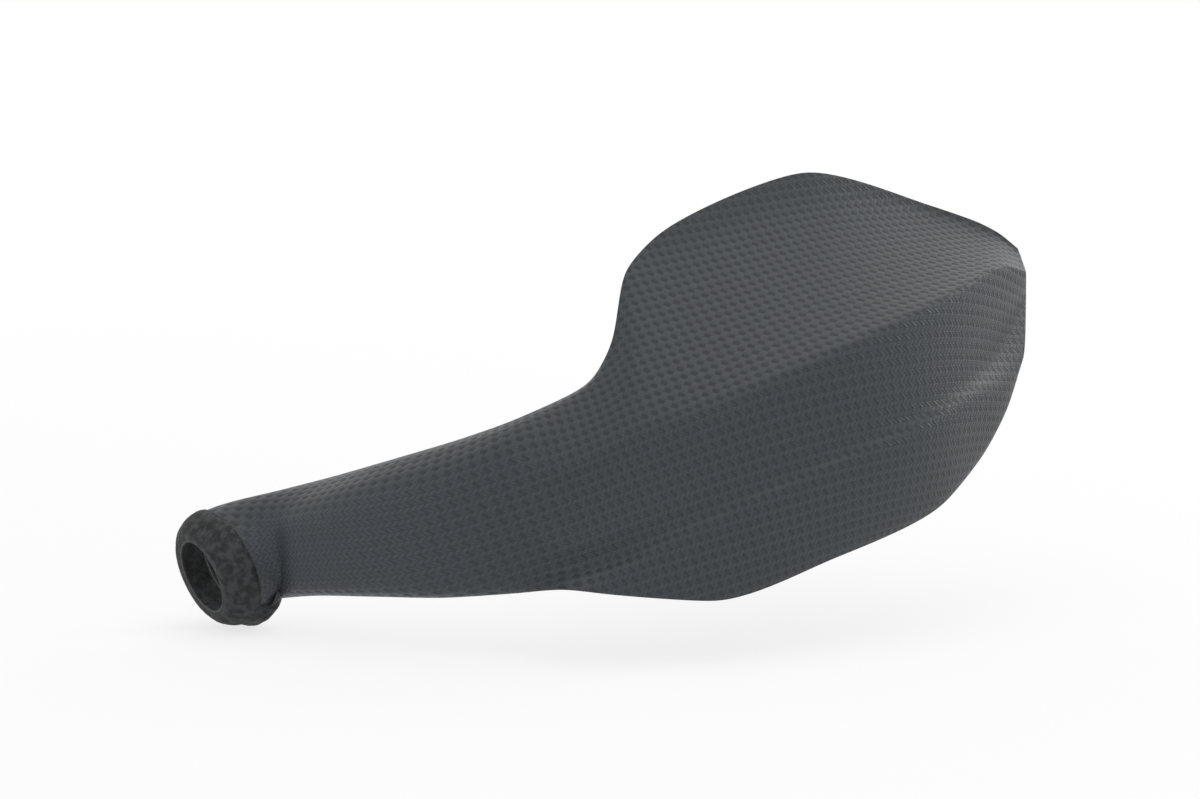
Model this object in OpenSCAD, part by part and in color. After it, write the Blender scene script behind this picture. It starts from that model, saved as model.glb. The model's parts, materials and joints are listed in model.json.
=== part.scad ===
// Motorcycle hand guard: woven laminate arm and wind deflector in one piece, bonded to a bar-end collar.
// Origin at the middle of the bar-end bore, X inboard, Y rearward, Z up, in mm.

/* [Bar-end collar] */
// Bore that slides over the bar-end spigot
bore_d = 22; // [18:0.5:26]
// Length of the full-diameter bore wall
bore_len = 8; // [6:0.5:12]
// Wider bore behind the wall, clear of the bar
relief_d = 24.4; // [23:0.2:28]
// Wall of the collar round that wider bore
collar_wall = 6.3; // [4:0.1:9]
// Axial distance from the mouth to the shoulder the shell ends at
collar_len = 9.5; // [7:0.5:14]
// The dome in section: how far it falls in at the mouth, and how far back it reaches from there
dome_drop = 5.4; // [4:0.1:8]
dome_len = 8; // [5:0.1:11]
// Small rounding at the edge of the mouth
lip_r = 0.8; // [0.3:0.1:2]
// Drop of the heel that carries the foot of the shell
heel_drop = 2.6; // [1:0.2:5]
// Reach of that heel along the arm
heel_len = 6.5; // [4:0.5:14]
// Turn of the heel from straight down towards the front
heel_turn = -21; // [-45:1:20]
// Spigot that the shell is bonded over
spigot_len = 3.2; // [2:0.2:6]
// Rise of the bar axis towards the inner end
bar_rise = 17.7; // [0:0.1:30]

/* [Laminate] */
// Thickness of the shell
wall = 2.2; // [1.5:0.1:3.5]
// Adhesive gap between collar and shell
bond_gap = 0.3; // [0.1:0.05:0.6]

/* [Arm] */
// Step from the collar's widest part down to the shell that grips the spigot
root_step = 1; // [0.4:0.1:3]
// Middle of the arm's section at four places, and the heading it runs on there: [x, y, z, heading]
arm_path = [[25, -19, 12, -60], [35, -42, 18, -68], [47, -63, 23, -58], [61, -79, 28, -44]];
// Half height of the arm at the same places
arm_half_h = [16, 19, 22, 25];
// Bulge of the arm's outer face in front of that middle
arm_bulge = [15.5, 15, 14, 13];
// How far the arm's foot tucks under there, from 0, flared out as on the blade, to 1, round like a tube
arm_tuck = [1, 1, 0.85, 0.5];

/* [Blade] */
// Lower rim, at nine places from the arm to the inner end
lower_rim = [
    [60, -106, 6.5], [71, -112, 5], [86, -117, 3], [102, -122, 1.5],
    [139, -126, 10.5], [185, -118, 22], [205, -109, 33.5], [217, -103, 44.5], [227, -95.5, 57]
];
// Crest of the lower ridge at the same places
ridge_crest = [
    [61, -102, 9], [71, -111, 11], [83, -118, 17], [97, -123, 24],
    [135, -131, 38], [178, -126, 48], [198, -116, 52], [215, -106, 53.5], [230, -94, 61.5]
];
// Crease between the upright face and the deflector
crease = [
    [65, -93, 36], [76, -100, 42], [86, -106, 47], [99, -113, 55],
    [137, -122, 70], [180, -116, 81], [200, -107, 85], [220, -95, 87.5], [236.5, -84.5, 83]
];
// Line where the deflector turns up into its lip
lip_line = [
    [79, -83, 60], [90, -83, 66], [103, -71, 88], [119, -68, 93],
    [174, -62, 102], [219, -60, 97], [231, -64, 93], [238, -68, 90.5], [241, -74, 87.5]
];
// Upper rim
upper_rim = [
    [86, -77, 61.5], [93, -78, 73], [104, -67, 91], [118, -62, 100.5],
    [175, -54, 114.5], [219, -57, 101.5], [233, -62, 96], [238.5, -66.5, 92.5], [241, -73, 88.5]
];
// How far the valley above the ridge is set back towards the crease, as a share
ridge_setback = [0.45, 0.5, 0.43, 0.4, 0.44, 0.6, 0.66, 0.9, 1.4];
// Soft swell on the face, strongest at the arm
swell = [2.4, 2.2, 1.4, 0.6, 0, 0, 0, 0, 0];
// Brow that hangs over the crease at the arm and makes it a groove
brow_out = [2.6, 3, 2.8, 0, 0, 0, 0, 0, 0];
// Share of the skirt that rolls in at its foot, and how far
foot_share = 0.14; // [0.05:0.01:0.3]
foot_roll = 1; // [0:0.2:3]

/* [Hidden] */
collar_r = relief_d / 2 + collar_wall;
root_r = collar_r - root_step;
spigot_r = root_r - wall - bond_gap;
shoulder = collar_len - bore_len / 2;
root_axial = shoulder + bond_gap;
// Length of a step along the shell, and the number of points across it
step_along = 4.5;
across = 40;

// Ten lines run the length of the shell. Round the spigot they leave it at these angles from straight ahead.
root_angles = [-112, -104, -94, -76, -46, -20, 12, 34, 76, 122];
// Where the same lines cut the arm's section: [share of the bulge, share of the half height]
arm_section = [
    [1.02, -0.94], [0.95, -0.88], [0.88, -0.82], [0.8, -0.7], [0.92, -0.4],
    [1, -0.05], [0.94, 0.32], [0.78, 0.56], [0.32, 0.93], [-0.6, 1]
];
// The same for the four lines at its foot, where that tucks under
tucked_foot = [[0.28, -1.12], [0.52, -1.1], [0.75, -0.99], [0.9, -0.79]];

function round_bar(axial, r, a) = [
    axial * cos(bar_rise) - r * sin(a) * sin(bar_rise),
    -r * cos(a),
    axial * sin(bar_rise) + r * sin(a) * cos(bar_rise)
];
function root_row(axial) = [for (a = root_angles) round_bar(axial, root_r, a)];

function arm_row(i) =
    let (s = arm_path[i], out = [sin(s[3]), -cos(s[3])])
    [for (k = [0:len(arm_section) - 1])
        let (
            open = arm_section[k],
            q = k < len(tucked_foot) ? open + (tucked_foot[k] - open) * arm_tuck[i] : open
        ) [
            s[0] + out[0] * q[0] * arm_bulge[i],
            s[1] + out[1] * q[0] * arm_bulge[i],
            s[2] + q[1] * arm_half_h[i]
        ]
    ];

// Ten points across the blade: the five drawn lines, and those that follow from them
function blade_row(i) =
    let (
        rim = lower_rim[i],
        crest = ridge_crest[i],
        top = crease[i],
        back = top - crest,
        out = -[back[0], back[1], 0] / norm([back[0], back[1]]),
        set = ridge_setback[i],
        valley = crest + [back[0] * set, back[1] * set, back[2] * set * set / 3],
        face = top - valley
    ) [
        rim,
        rim + (crest - rim) * foot_share - [0, foot_roll, 0],
        crest,
        valley,
        valley + face * 0.25 + out * swell[i],
        valley + face * 0.43,
        top,
        top + (lip_line[i] - top) * 0.1 + (out + [0, 0, 0.6]) * brow_out[i],
        lip_line[i],
        upper_rim[i]
    ];

rows = concat(
    [root_row(root_axial), root_row(shoulder + spigot_len)],
    [for (i = [0:len(arm_path) - 1]) arm_row(i)],
    [for (i = [0:len(crease) - 1]) blade_row(i)]
);
last_row = len(rows) - 1;
last_line = len(arm_section) - 1;

// Distance from each row to the next, averaged over the lines
function total(list, i = 0) = i == len(list) ? 0 : list[i] + total(list, i + 1);
function line_steps(i) = [for (k = [0:last_line]) norm(rows[i + 1][k] - rows[i][k])];
reach = [for (i = [0:last_row - 1]) total(line_steps(i)) / (last_line + 1)];

// Both rims run straight between tighter corners, the other lines in easy curves
function ease(k) = k == 0 || k == last_line ? 0.75 : 1;

// Direction of a line where it passes a row, weighted so that close rows do not make it overshoot
function slope(i, k) =
    i == 0 ? (rows[1][k] - rows[0][k]) / reach[0]
    : i == last_row ? (rows[i][k] - rows[i - 1][k]) / reach[i - 1]
    : let (before = reach[i - 1], after = reach[i])
        ((rows[i + 1][k] - rows[i][k]) / after * before + (rows[i][k] - rows[i - 1][k]) / before * after)
        / (before + after);
function between(i, k, t) =
    let (turn = slope(i, k) * (t * t * t - 2 * t * t + t) + slope(i + 1, k) * (t * t * t - t * t))
    rows[i][k] * (2 * t * t * t - 3 * t * t + 1) + rows[i + 1][k] * (3 * t * t - 2 * t * t * t)
    + turn * reach[i] * ease(k);
function section(u) =
    let (i = min(floor(u), last_row - 1))
    [for (k = [0:last_line]) between(i, k, u - i)];

// Point across a section, panels straight and each line rounded over the given share of the panels beside it
function straight_at(s, v) =
    let (k = max(0, min(floor(v), last_line - 1)))
    s[k] + (s[k + 1] - s[k]) * (v - k);
function rounded_at(s, v, soft) =
    let (w = min(soft, v, last_line - v))
    (
        straight_at(s, v - w) + straight_at(s, v - w / 2) * 2 + straight_at(s, v) * 2
        + straight_at(s, v + w / 2) * 2 + straight_at(s, v + w)
    ) / 8;

// The creases are crisp on the blade and melt into a round section along the arm
function softness(u) = u < 4 ? 0.95 : u > 6 ? 0.5 : 0.95 - 0.45 * (u - 4) / 2;

stations = concat(
    [for (i = [0:last_row - 1])
        let (n = max(2, round(reach[i] / step_along)))
        for (j = [0:n - 1]) i + j / n],
    [last_row]
);
steps = [for (j = [0:across - 1]) j * last_line / (across - 1)];

// Round the spigot the skin is a true circle, which the rest runs out of within one stretch
function root_point(u, v) =
    round_bar(root_axial + u * (spigot_len - bond_gap), root_r, straight_at(root_angles, v));
function sink(v, extra) = root_point(1, v) - rounded_at(rows[1], v, softness(1) + extra);
function skin(extra) = [
    for (u = stations)
        let (s = section(u), fade = max(0, 2 - u) * max(0, 2 - u) * (2 * min(u, 2) - 1))
        [for (v = steps)
            u <= 1 ? root_point(u, v)
            : rounded_at(s, v, softness(u) + extra) + sink(v, extra) * fade
        ]
];
outer_skin = skin(0);
calm_skin = skin(0.25);

function unit(v) = v / norm(v);
function facing(grid, i, j) =
    let (
        a = grid[min(i + 1, len(grid) - 1)][j] - grid[max(i - 1, 0)][j],
        b = grid[i][min(j + 1, across - 1)] - grid[i][max(j - 1, 0)]
    )
    unit(cross(a, b));
inner_skin = [
    for (i = [0:len(calm_skin) - 1])
        [for (j = [0:across - 1]) calm_skin[i][j] - facing(calm_skin, i, j) * wall]
];

// One closed skin: outside, inside and the rim all round
module laminate(outside, inside) {
    n = len(outside);
    m = len(outside[0]);
    points = [for (g = [outside, inside]) for (row = g) for (p = row) p];
    outer = function (i, j) i * m + j;
    inner = function (i, j) n * m + i * m + j;
    rim = concat(
        [for (i = [0:n - 1]) [i, 0]],
        [for (j = [1:m - 1]) [n - 1, j]],
        [for (i = [n - 2:-1:0]) [i, m - 1]],
        [for (j = [m - 2:-1:1]) [0, j]]
    );
    polyhedron(points, concat(
        [for (i = [0:n - 2]) for (j = [0:m - 2]) each [
            [outer(i, j), outer(i, j + 1), outer(i + 1, j + 1)],
            [outer(i, j), outer(i + 1, j + 1), outer(i + 1, j)],
            [inner(i, j), inner(i + 1, j + 1), inner(i, j + 1)],
            [inner(i, j), inner(i + 1, j), inner(i + 1, j + 1)]
        ]],
        [for (k = [0:len(rim) - 1])
            let (a = rim[k], b = rim[(k + 1) % len(rim)])
            each [
                [outer(a[0], a[1]), outer(b[0], b[1]), inner(b[0], b[1])],
                [outer(a[0], a[1]), inner(b[0], b[1]), inner(a[0], a[1])]
            ]
        ]
    ));
}

module guard_shell() {
    color("#3c4145") laminate(outer_skin, inner_skin);
}

function arc(centre, r, from, to, n) =
    [for (i = [0:n]) let (a = from + (to - from) * i / n) centre + [r[0] * cos(a), r[1] * sin(a)]];

module bar_end_collar() {
    mouth = -bore_len / 2;
    dome_mid = [collar_r - dome_drop, mouth + dome_len];
    profile = concat(
        [[relief_d / 2, bore_len / 2 + (relief_d - bore_d) / 2], [bore_d / 2, bore_len / 2]],
        arc([bore_d / 2 + lip_r, mouth + lip_r], [lip_r, lip_r], 180, 260, 4),
        arc(dome_mid, [dome_drop, dome_len], -90, asin((shoulder - dome_mid[1]) / dome_len), 12),
        [[spigot_r, shoulder], [spigot_r, shoulder + spigot_len], [relief_d / 2, shoulder + spigot_len]]
    );
    heel = [
        [root_r + bond_gap, mouth + dome_len],
        [root_r + bond_gap, shoulder + heel_len],
        [root_r + bond_gap + 0.8, shoulder + heel_len],
        [root_r + heel_drop * 0.9, shoulder + heel_len * 0.5],
        [root_r + heel_drop, shoulder],
        [collar_r - root_step / 3, mouth + dome_len]
    ];
    color("#2b2c2e") rotate([0, 90 - bar_rise, 0]) {
        rotate_extrude($fn = 96) polygon(profile);
        intersection() {
            rotate_extrude($fn = 96) polygon(heel);
            rotate([0, 0, heel_turn]) translate([root_r, 0, shoulder + 1]) sphere(heel_len + 1.5, $fn = 96);
        }
    }
}

guard_shell();
bar_end_collar();
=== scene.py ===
import json
import math

import bmesh
import bpy
from mathutils import Matrix, Vector


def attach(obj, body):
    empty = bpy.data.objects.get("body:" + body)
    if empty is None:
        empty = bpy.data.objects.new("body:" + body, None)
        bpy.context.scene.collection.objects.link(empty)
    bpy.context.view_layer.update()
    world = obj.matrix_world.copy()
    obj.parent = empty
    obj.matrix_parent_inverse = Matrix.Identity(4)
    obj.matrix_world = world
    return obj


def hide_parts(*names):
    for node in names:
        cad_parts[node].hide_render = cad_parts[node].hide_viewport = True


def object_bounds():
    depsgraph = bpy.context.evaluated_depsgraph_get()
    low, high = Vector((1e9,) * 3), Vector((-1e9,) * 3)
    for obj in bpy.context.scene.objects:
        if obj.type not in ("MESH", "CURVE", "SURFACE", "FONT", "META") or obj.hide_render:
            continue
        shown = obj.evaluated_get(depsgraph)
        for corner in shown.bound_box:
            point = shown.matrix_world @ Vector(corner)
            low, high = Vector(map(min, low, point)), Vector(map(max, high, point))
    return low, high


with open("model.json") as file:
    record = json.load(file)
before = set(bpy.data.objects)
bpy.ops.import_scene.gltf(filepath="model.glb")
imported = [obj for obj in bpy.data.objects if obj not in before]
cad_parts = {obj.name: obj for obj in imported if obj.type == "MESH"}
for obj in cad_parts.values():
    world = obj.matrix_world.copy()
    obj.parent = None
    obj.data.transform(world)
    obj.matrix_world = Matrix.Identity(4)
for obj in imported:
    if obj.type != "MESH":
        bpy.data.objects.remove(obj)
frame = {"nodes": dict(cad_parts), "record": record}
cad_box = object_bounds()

for spare in ("Cube", "Light", "Camera"):
    if spare in bpy.data.objects:
        bpy.data.objects.remove(bpy.data.objects[spare])


# Camera: a long lens well in front and to the left of the guard, looking a little down on it, as the
# photograph does. Its three axes are the picture's right, its up, and the way back to the camera.
camera_place = Vector((-1.11647, -2.07639, 0.46767))
picture_right = Vector((0.8563, -0.5165, 0.0))
picture_up = Vector((0.0897, 0.1487, 0.9848))
lens_length = 240
film_width = 36
view_from, view_to = 0.05, 60

bpy.ops.object.camera_add()
camera = bpy.context.object
camera.name = "camera"
camera.data.lens = lens_length
camera.data.sensor_width = film_width
camera.data.clip_start = view_from
camera.data.clip_end = view_to
turn = Matrix((picture_right, picture_up, picture_right.cross(picture_up))).transposed()
camera.matrix_world = Matrix.Translation(camera_place) @ turn.to_4x4()
bpy.context.scene.camera = camera


# Shell: one moulding of plain-woven carbon cloth in a satin resin, from the collar along the open-backed arm to
# the inner end of the deflector. It is laid in a mould, cured, and its rim is trimmed and sanded round.
wall = 0.0022
wall_clamp = 1
rim_round = 0.0005
rim_steps = 3
rim_corner = math.radians(62)
sharp_corner = math.radians(60)
soft_corner = math.radians(50)
same_spot = 1e-6
same_row = 1e-5

lines_across = 40
crease_line = 26
weave = 0.0034
cloth_turn = 0.14
arm_stretch = 1.25
stretch_ends = (0.075, 0.115)
arm_swing = 0.44
swing_ends = (0.050, 0.112)


def only(piece):
    bpy.ops.object.select_all(action="DESELECT")
    piece.select_set(True)
    bpy.context.view_layer.objects.active = piece


def cad_copy(node, name):
    """A merged copy of a CAD node's mesh, as a new object at the origin."""
    piece = bpy.data.objects.new(name, frame["nodes"][node].data.copy())
    bpy.context.scene.collection.objects.link(piece)
    piece.data.materials.clear()
    only(piece)
    bpy.ops.object.mode_set(mode="EDIT")
    bpy.ops.mesh.select_all(action="SELECT")
    bpy.ops.mesh.remove_doubles(threshold=same_spot)
    bpy.ops.object.mode_set(mode="OBJECT")
    bpy.ops.mesh.customdata_custom_splitnormals_clear()
    return piece


def finish(piece, kind, **settings):
    """A modifier, set and applied."""
    made = piece.modifiers.new(kind.lower(), kind)
    for name, setting in settings.items():
        setattr(made, name, setting)
    only(piece)
    bpy.ops.object.modifier_apply(modifier=made.name)


shell = cad_copy("guard_shell", "laminate_shell")
bm = bmesh.new()
bm.from_mesh(shell.data)
bm.normal_update()

# The mould side of the skin, up to the square edge of its rim
front = min(bm.faces, key=lambda face: face.calc_center_median().y)
mould_side = {front}
spreading = [front]
while spreading:
    for edge in spreading.pop().edges:
        if edge.calc_face_angle(math.pi) < rim_corner:
            fresh = [face for face in edge.link_faces if face not in mould_side]
            mould_side.update(fresh)
            spreading.extend(fresh)
skin_points = {point for face in mould_side for point in face.verts}

# Its rows of points, one after the other from the collar, each from the lower rim to the upper
bar = -Vector(frame["record"]["mounts"][0]["axis"])
nearest = min(point.co.dot(bar) for point in skin_points)
row = {point for point in skin_points if point.co.dot(bar) < nearest + same_row}
rows = []
placed = set()
while row:
    start = min(row, key=lambda point: (
        sum(edge.other_vert(point) in row for edge in point.link_edges), point.co.z
    ))
    ordered = [start]
    while len(ordered) < len(row):
        ordered.append(next(
            edge.other_vert(ordered[-1]) for edge in ordered[-1].link_edges
            if edge.other_vert(ordered[-1]) in row and edge.other_vert(ordered[-1]) not in ordered
        ))
    rows.append([point.co.copy() for point in ordered])
    placed |= row
    row = {
        edge.other_vert(point) for point in row for edge in point.link_edges
        if edge.other_vert(point) in skin_points
    } - placed
bm.free()

# Laid again as a sheet of clean quads on those rows
bpy.data.objects.remove(shell)
bpy.ops.mesh.primitive_grid_add(x_subdivisions=lines_across - 1, y_subdivisions=len(rows) - 1, size=1)
shell = bpy.context.object
shell.name = shell.data.name = "laminate_shell"
for point in shell.data.vertices:
    point.co = rows[point.index // lines_across][point.index % lines_across]
shell.matrix_world = Matrix()

only(shell)
bpy.ops.object.mode_set(mode="EDIT")
bpy.ops.mesh.select_all(action="SELECT")
bpy.ops.mesh.normals_make_consistent(inside=False)
bpy.ops.uv.unwrap(method="ANGLE_BASED", margin=0.0)
bpy.ops.object.mode_set(mode="OBJECT")
if shell.data.polygons[(len(rows) // 2) * (lines_across - 1) + crease_line // 2].normal.y > 0:
    shell.data.flip_normals()

# The cloth before it was laid: the skin unrolled flat, turned so that its rows of cells run nearly along the
# crease of the deflector, and counted in repeats of the weave. On the arm it is swung round and pulled long.
cloth_map = shell.data.uv_layers[0]
cloth_map.name = "cloth"
flat = {loop.vertex_index: Vector(cloth_map.data[loop.index].uv) for loop in shell.data.loops}
near, far = len(rows) // 2, len(rows) * 3 // 4
along = flat[far * lines_across + crease_line] - flat[near * lines_across + crease_line]
unrolled = along.length / (rows[far][crease_line] - rows[near][crease_line]).length
across = Vector((-along.y, along.x))
if across.dot(flat[near * lines_across + lines_across - 1] - flat[near * lines_across]) < 0:
    across.negate()
along, across = along.normalized() / unrolled, across.normalized() / unrolled
along, across = (
    along * math.cos(cloth_turn) - across * math.sin(cloth_turn),
    across * math.cos(cloth_turn) + along * math.sin(cloth_turn),
)
collar_end = flat[crease_line]


def swung(reach, offset):
    """A spot of the unrolled skin by its reach along the swung cloth and its offset from the cloth's middle."""
    start, end = swing_ends
    bend = (end - start) / arm_swing
    angle = min(max(math.atan2(end - reach, bend - offset), 0.0), arm_swing)
    from_middle = Vector((reach - end + bend * math.sin(angle), offset - bend + bend * math.cos(angle)))
    run = from_middle.dot(Vector((math.cos(angle), -math.sin(angle))))
    return end - bend * angle + run, from_middle.dot(Vector((math.sin(angle), math.cos(angle))))


def repeats(reach):
    """Weave repeats in a length of cloth from the collar, where those on the arm are stretched."""
    start, end = stretch_ends
    on_arm = min(reach, start) / arm_stretch
    changing = max(0.0, min(reach, end) - start)
    share = changing / (end - start)
    past = max(0.0, reach - end)
    return (on_arm + changing * (1 - share / 2) / arm_stretch + changing * share / 2 + past) / weave


for loop in shell.data.loops:
    spot = flat[loop.vertex_index] - collar_end
    reach, offset = swung(spot.dot(along), spot.dot(across))
    cloth_map.data[loop.index].uv = (repeats(reach), offset / weave)

finish(shell, "SUBSURF", levels=1, render_levels=1)
finish(
    shell, "SOLIDIFY",
    thickness=wall, offset=-1, thickness_clamp=wall_clamp, use_even_offset=True, use_quality_normals=True,
    material_offset=1, material_offset_rim=2,
)
finish(
    shell, "BEVEL",
    width=rim_round, segments=rim_steps, limit_method="ANGLE", angle_limit=sharp_corner, loop_slide=False,
)
bpy.ops.object.shade_smooth_by_angle(angle=soft_corner)

# The cloth's look, with painted sheen and shade in place of the glints of its tows under the lamps. Where the skin
# lies flat, the tows that rise to the inner end stay bright and the others are painted dark. Where it stands up, and
# most where the cloth is drawn out by the collar, it shows as rows of slanting strands, painted light on a ground
# painted darker.
# A pair is where a change starts and where it is complete.
tow_grey = 0.051
tow_tint = (0.87, 1.0, 1.14)
# The dark and light ends of the tone: painted shade pulls towards the first, painted sheen towards the second, and
# the random tone both ways
shade_and_tone_dark_grey = 0.002
sheen_and_tone_top = 1.25
bare_tone = 0.8
crossing_sharpness = 3
tow_ends = 0.5
crown_sides, crown_ends = 1.3, 0.35
row_turn = (0.62, 0.8)
row_rim = (0.0, 0.5)
strand_rim = (0.15, 0.95)
drawn_out = (8, 26)
lying_flat = (0.35, 0.85)
crown_rim = (0.03, 0.6)
seam_shade_rim = (0.0, 0.4)
# Painted shade on the crowns of the falling tows, where the skin lies flat and where it stands up
painted_shade_on_flat = 0.38
painted_shade_on_upright = 0.2
# Painted shade in the dips between the cells where the skin lies flat
painted_seam_shade = 0.1
# Painted shade on the ground of upright skin, and painted sheen on its strands, more near the collar
painted_upright_shade = 0.1
painted_strand_sheen = 0.2
painted_sheen_near_collar = 0.2
cloud_grain, cloud_change = 18.0, 0.2
speck_grain, speck_change, speck_height = 900.0, 0.16, 0.1
dull_roughness = 0.12
cloud_roughness = 0.08
laminate_gloss = 0.3


class Value:
    """A shader socket that adds, multiplies and compares as a number does."""

    def __init__(self, tree, socket):
        self.tree = tree
        self.socket = socket

    def node(self, kind, settings=None, inputs=None, output=0):
        made = self.tree.nodes.new(kind)
        for name, setting in (settings or {}).items():
            setattr(made, name, setting)
        for name, given in (inputs or {}).items():
            if isinstance(given, Value):
                self.tree.links.new(given.socket, made.inputs[name])
            else:
                made.inputs[name].default_value = given
        return Value(self.tree, made.outputs[output])

    def math(self, operation, *others):
        inputs = {0: self, **{place + 1: other for place, other in enumerate(others)}}
        return self.node("ShaderNodeMath", {"operation": operation}, inputs)

    def __add__(self, other):
        return self.math("ADD", other)

    __radd__ = __add__

    def __mul__(self, other):
        return self.math("MULTIPLY", other)

    __rmul__ = __mul__

    def __sub__(self, other):
        return self.math("SUBTRACT", other)

    def __rsub__(self, other):
        return self * -1 + other

    def __pow__(self, power):
        return self.math("POWER", power)

    def __abs__(self):
        return self.math("ABSOLUTE")

    def sine(self):
        return self.math("SINE")

    def cosine(self):
        return self.math("COSINE")

    def clamped(self):
        return self.math("MAXIMUM", 0.0).math("MINIMUM", 1.0)

    def step(self, low, high):
        """0 up to low and 1 from high on, with a smooth change between them."""
        return self.node(
            "ShaderNodeMapRange",
            {"interpolation_type": "SMOOTHSTEP"},
            {"Value": self, "From Min": low, "From Max": high},
        )

    def mix(self, dark, light):
        """Colour between dark, where this is 0, and light, where it is 1."""
        return self.node("ShaderNodeMix", {"data_type": "RGBA"}, {"Factor": self, "A": dark, "B": light}, output=2)

    def parts(self):
        """The x, y and z of a vector."""
        split = self.node("ShaderNodeSeparateXYZ", inputs={0: self}).socket.node
        return [Value(self.tree, socket) for socket in split.outputs]

    def into(self, shader, name):
        self.tree.links.new(self.socket, shader.inputs[name])


def new_material(name):
    """A material with a bare Principled shader, and a Value to build its sums from."""
    made = bpy.data.materials.new(name)
    made.use_nodes = True
    skin = made.node_tree.nodes["Principled BSDF"]
    return made, skin, Value(made.node_tree, skin.outputs[0])


def grey(level, tint=(1.0, 1.0, 1.0)):
    return (level * tint[0], level * tint[1], level * tint[2], 1.0)


def cloth_relief(value):
    """Plain weave on the cloth map: tows at plus and minus 45 degrees, each over and under the next. Gives the
    height, 1 where the tow on top rises to the inner end and 0 where it falls, how near a spot is to a tow's crown,
    the strands in rows that rise and fall in turn, and how far the cloth is drawn out, most by the collar."""
    run, climb, _ = value.node("ShaderNodeUVMap", {"uv_map": "cloth"}).parts()
    wave_up = ((run + climb) * math.pi).sine()
    wave_down = ((run - climb) * math.pi).sine()
    over = (wave_up * wave_down * crossing_sharpness + 0.5).clamped()
    across = abs(wave_down) * over + abs(wave_up) * (1 - over)
    length = abs(wave_up) * over + abs(wave_down) * (1 - over)
    rising_row = abs((climb * math.pi).cosine()).step(*row_turn)
    rising = abs(((run - climb) * (2 * math.pi)).sine())
    falling = abs(((run + climb) * (2 * math.pi)).sine())
    inside_row = abs((climb * (2 * math.pi)).cosine()).step(*row_rim)
    strands = (rising * rising_row + falling * (1 - rising_row)).step(*strand_rim) * inside_row
    drawn = 1 - run.step(*drawn_out)
    return across * length ** tow_ends, over, across ** crown_sides * length ** crown_ends, strands, drawn


def laminate(name, level, roughness, depth):
    """The cloth in its resin, of a colour's level, a roughness, and a depth of relief in metres."""
    made, skin, value = new_material(name)
    height, over, crown, strands, drawn = cloth_relief(value)
    lie = value.node("ShaderNodeTexCoord", output="Normal").parts()[2]
    flat = abs(lie).step(*lying_flat)
    upright = 1 - flat
    # Painted shade on the crowns of the falling tows, which are also rougher
    falling_crown = (1 - over) * crown.step(*crown_rim)
    # Painted shade in the dips between cells, where the skin lies flat
    seam_shade_mask = (1 - height.step(*seam_shade_rim)) * flat
    spots = value.node("ShaderNodeTexCoord", output="Object")
    cloud = value.node("ShaderNodeTexNoise", inputs={"Vector": spots, "Scale": cloud_grain, "Detail": 3.0})
    speck = value.node("ShaderNodeTexNoise", inputs={"Vector": spots, "Scale": speck_grain, "Detail": 2.0})

    # Painted sheen and shade where the skin stands up: a darker ground, and strands painted light, lightest near the
    # collar
    upright_sheen_and_shade = painted_upright_shade - strands * (painted_strand_sheen + drawn * painted_sheen_near_collar)
    # Painted shade on the falling tows: full where the skin lies flat, less where it stands up, and there fading out
    # towards the collar
    painted_tow_shade = falling_crown * (flat * painted_shade_on_flat + upright * (1 - drawn) * painted_shade_on_upright)
    # All the painted shade, less the painted sheen of the strands
    shade = painted_tow_shade + seam_shade_mask * painted_seam_shade + upright * upright_sheen_and_shade
    clouded = 1 - cloud_change / 2 + cloud * cloud_change
    specked = 1 - speck_change / 2 + speck * speck_change
    tone = (bare_tone - shade) * clouded * specked
    # From the dark end to the light end by the tone, with its painted shade and sheen
    tone.mix(grey(shade_and_tone_dark_grey), grey(level * sheen_and_tone_top, tow_tint)).into(skin, "Base Color")
    (roughness + falling_crown * dull_roughness + (cloud - 0.5) * cloud_roughness).into(skin, "Roughness")
    surface = height * flat + strands * upright + speck * speck_height
    value.node("ShaderNodeBump", inputs={"Height": surface, "Distance": depth, "Strength": 1.0}).into(skin, "Normal")
    skin.inputs["Specular IOR Level"].default_value = laminate_gloss
    return made


shell.data.materials.append(laminate("satin_laminate", tow_grey, roughness=0.42, depth=0.00010))
shell.data.materials.append(laminate("bag_side_laminate", tow_grey * 0.9, roughness=0.6, depth=0.00025))

# The rim, sanded through to cut ends of cloth
edge_grain = 700.0
edge_greys = (0.02, 0.06)
edge_roughness, edge_roughness_change = 0.5, 0.2

edge, edge_skin, value = new_material("sanded_edge")
spots = value.node("ShaderNodeTexCoord", output="Object")
grain = value.node("ShaderNodeTexNoise", inputs={"Vector": spots, "Scale": edge_grain, "Detail": 3.0})
grain.mix(grey(edge_greys[0]), grey(edge_greys[1])).into(edge_skin, "Base Color")
(edge_roughness + grain * edge_roughness_change).into(edge_skin, "Roughness")
shell.data.materials.append(edge)

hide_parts("guard_shell")
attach(shell, "root")


# Collar: the ring that takes the bar end, with its heel under the arm, moulded in short-fibre composite. The guard's
# root is bonded over its spigot. A bead of the same composite covers the joint, and a lump of it fills the heel.
true_within = 0.0143
bead_middle = 0.0166
bead_round = 0.0018
bead_setback = 0.001
heel_rows = slice(1, 6)
heel_from = 0.004
heel_past_ring = 0.002
heel_low = -0.0065
heel_sides = (-0.0125, 0.008)
heel_cover = 0.0007
heel_fill = 0.004
fill_from = 0.002
skin_grain = 0.00042
soften_by, soften_times = 0.5, 14
mark_size, mark_height, mark_level = 0.006, 0.0008, 0.75

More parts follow.
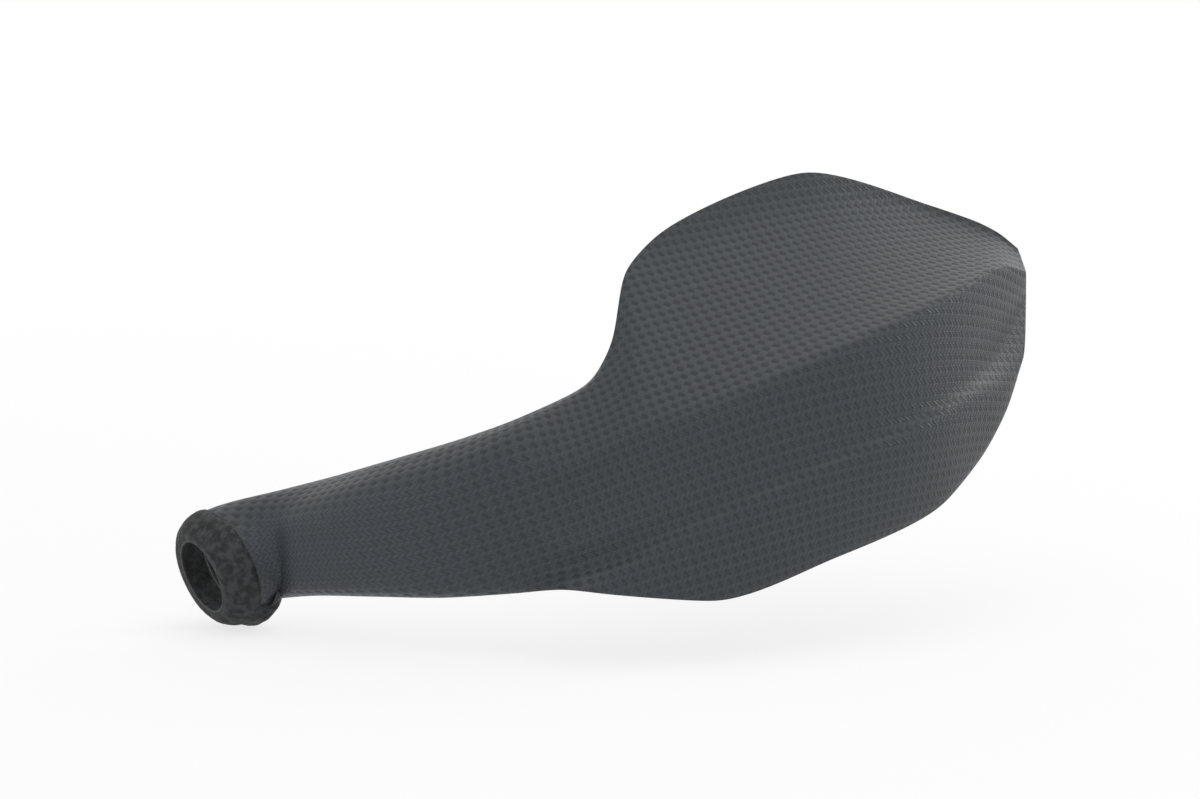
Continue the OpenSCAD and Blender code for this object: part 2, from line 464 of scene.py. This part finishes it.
collar = cad_copy("bar_end_collar", "bar_end_collar_skin")
bpy.ops.object.mode_set(mode="EDIT")
bpy.ops.mesh.select_all(action="SELECT")
bpy.ops.mesh.normals_make_consistent(inside=False)
bpy.ops.object.mode_set(mode="OBJECT")
bpy.ops.mesh.primitive_torus_add(
    location=bar * (nearest - bead_setback),
    rotation=bar.to_track_quat("Z", "Y").to_euler(),
    major_segments=96,
    minor_segments=20,
    major_radius=bead_middle,
    minor_radius=bead_round,
)
bead = bpy.context.object

# The heel, pressed by hand between the ring and the foot of the arm
near_heel = [point.co for point in collar.data.vertices if point.co.dot(bar) > nearest - heel_from]
near_heel += [spot for row in rows[heel_rows] for spot in row]
lump = bpy.data.objects.new("heel", bpy.data.meshes.new("heel"))
bpy.context.scene.collection.objects.link(lump)
bm = bmesh.new()
for spot in near_heel:
    outward = spot - bar * spot.dot(bar)
    past_ring = outward.length > bead_middle - heel_past_ring
    if past_ring and spot.z < heel_low and heel_sides[0] < spot.y < heel_sides[1]:
        bm.verts.new(spot + outward.normalized() * heel_cover * (spot.dot(bar) > nearest))
        bm.verts.new(spot + Vector((0, 0, heel_fill)) * (spot.dot(bar) > nearest + fill_from))
hull = bmesh.ops.convex_hull(bm, input=bm.verts)
bmesh.ops.delete(bm, geom=list({*hull["geom_interior"], *hull["geom_unused"]}), context="VERTS")
bm.to_mesh(lump.data)
bm.free()

only(collar)
bead.select_set(True)
lump.select_set(True)
bpy.ops.object.join()
finish(collar, "REMESH", mode="VOXEL", voxel_size=skin_grain)

# Worked by hand on the outside only: the bore stays true
outside = collar.vertex_groups.new(name="outside")
for point in collar.data.vertices:
    if point.co.cross(bar).length > true_within:
        outside.add([point.index], 1.0, "REPLACE")
finish(collar, "SMOOTH", factor=soften_by, iterations=soften_times, vertex_group=outside.name)
marks = bpy.data.textures.new("hand_marks", "CLOUDS")
marks.noise_scale = mark_size
marks.noise_depth = 2
finish(
    collar, "DISPLACE",
    texture=marks, texture_coords="LOCAL", strength=mark_height, mid_level=mark_level, vertex_group=outside.name,
)
bpy.ops.object.shade_smooth()

# Its mottle of short fibres, and a painted highlight: the lip round the mouth painted light all round
patch_grain, fibre_grain = 420.0, 1500.0
patch_rim = (0.38, 0.66)
patch_share, fibre_share, fibre_height = 0.8, 0.2, 0.3
mottle_dark, mottle_light, mottle_tint = 0.016, 0.056, (0.94, 1.0, 1.06)
lip_starts = (0.01105, 0.0113)
lip_ends = (0.0113, 0.0118)
lip_highlight_grey = 0.1
mottle_roughness, patch_polish = 0.72, 0.15
mottle_depth, mottle_relief = 0.0003, 0.7
mottle_gloss = 0.25

mottle, mottle_skin, value = new_material("moulded_composite")
spots = value.node("ShaderNodeTexCoord", output="Object")
patches = value.node(
    "ShaderNodeTexNoise", inputs={"Vector": spots, "Scale": patch_grain, "Detail": 4.0, "Roughness": 0.6}
)
fibres = value.node("ShaderNodeTexNoise", inputs={"Vector": spots, "Scale": fibre_grain, "Detail": 2.0})
tone = patches.step(*patch_rim) * patch_share + fibres * fibre_share
reach = value.node("ShaderNodeVectorMath", {"operation": "DOT_PRODUCT"}, {0: spots, 1: bar}, output="Value")
away = value.node("ShaderNodeVectorMath", {"operation": "LENGTH"}, {0: spots}, output="Value")
from_axis = (away * away - reach * reach) ** 0.5
# Painted highlight: a light ring on the lip round the mouth
painted_lip_highlight = from_axis.step(*lip_starts) * (1 - from_axis.step(*lip_ends))
mottled = tone.mix(grey(mottle_dark), grey(mottle_light, mottle_tint))
painted_lip_highlight.mix(mottled, grey(lip_highlight_grey)).into(mottle_skin, "Base Color")
(mottle_roughness - patches * patch_polish).into(mottle_skin, "Roughness")
surface = patches + fibres * fibre_height
value.node(
    "ShaderNodeBump", inputs={"Height": surface, "Distance": mottle_depth, "Strength": mottle_relief}
).into(mottle_skin, "Normal")
mottle_skin.inputs["Specular IOR Level"].default_value = mottle_gloss
collar.data.materials.append(mottle)

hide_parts("bar_end_collar")
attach(collar, "root")


# Studio: a white floor that keeps the guard's soft shadow, a broad lamp overhead, and two weaker ones past the
# inner end, which brighten the faces that turn that way. The air around gives the rest of the light.
floor_size = 24
floor_drop = 0.0004
floor_grey = 0.85
white_by_guard = 0.75
all_white = (0.25, 0.7)
air_light = 0.85
lamps_aim = Vector((0.11, -0.06, 0.05))


def rays(value, *kinds):
    """1 for a ray of one of these kinds, and 0 for the others."""
    outputs = value.node("ShaderNodeLightPath").socket.node.outputs
    either, *others = [Value(value.tree, outputs[f"Is {kind} Ray"]) for kind in kinds]
    for other in others:
        either = either.math("MAXIMUM", other)
    return either


def soft_lamp(name, place, width, depth, power):
    bpy.ops.object.light_add(type="AREA", location=place)
    lamp = bpy.context.object
    lamp.name = name
    lamp.data.shape = "RECTANGLE"
    lamp.data.size = width
    lamp.data.size_y = depth
    lamp.data.energy = power
    lamp.rotation_euler = (lamps_aim - Vector(place)).to_track_quat("-Z", "Y").to_euler()


bpy.ops.mesh.primitive_plane_add(size=floor_size, location=(0, 0, cad_box[0].z - floor_drop))
floor = bpy.context.object
floor.name = "studio_floor"
white, floor_skin, value = new_material("white_floor")
floor_skin.inputs["Base Color"].default_value = grey(floor_grey)
floor_skin.inputs["Roughness"].default_value = 1.0
floor_skin.inputs["Specular IOR Level"].default_value = 0.0
ground = value.node("ShaderNodeTexCoord", output="Object").parts()
far_off = ((ground[0] * ground[0] + ground[1] * ground[1]) ** 0.5).step(*all_white)
glow = value.node("ShaderNodeEmission", inputs={"Color": grey(1.0), "Strength": 1.0})
share = rays(value, "Camera", "Glossy", "Transmission") * (white_by_guard + far_off * (1 - white_by_guard))
seen = value.node("ShaderNodeMixShader", inputs={0: share, 1: value, 2: glow})
seen.into(value.tree.nodes["Material Output"], "Surface")
floor.data.materials.append(white)

soft_lamp("overhead", (0.25, -0.15, 1.3), width=1.6, depth=1.2, power=4)
soft_lamp("right_wall", (1.4, 0.02, 0.62), width=0.6, depth=0.5, power=3.6)
soft_lamp("right_corner", (1.1, 0.8, 0.5), width=1.0, depth=1.0, power=1.5)

world = bpy.data.worlds.new("studio_air")
bpy.context.scene.world = world
world.use_nodes = True
air = world.node_tree.nodes["Background"]
value = Value(world.node_tree, air.outputs[0])
air.inputs["Color"].default_value = grey(1.0)
(rays(value, "Camera", "Transmission") * (1 - air_light) + air_light).into(air, "Strength")
bpy.context.scene.view_settings.view_transform = "Standard"
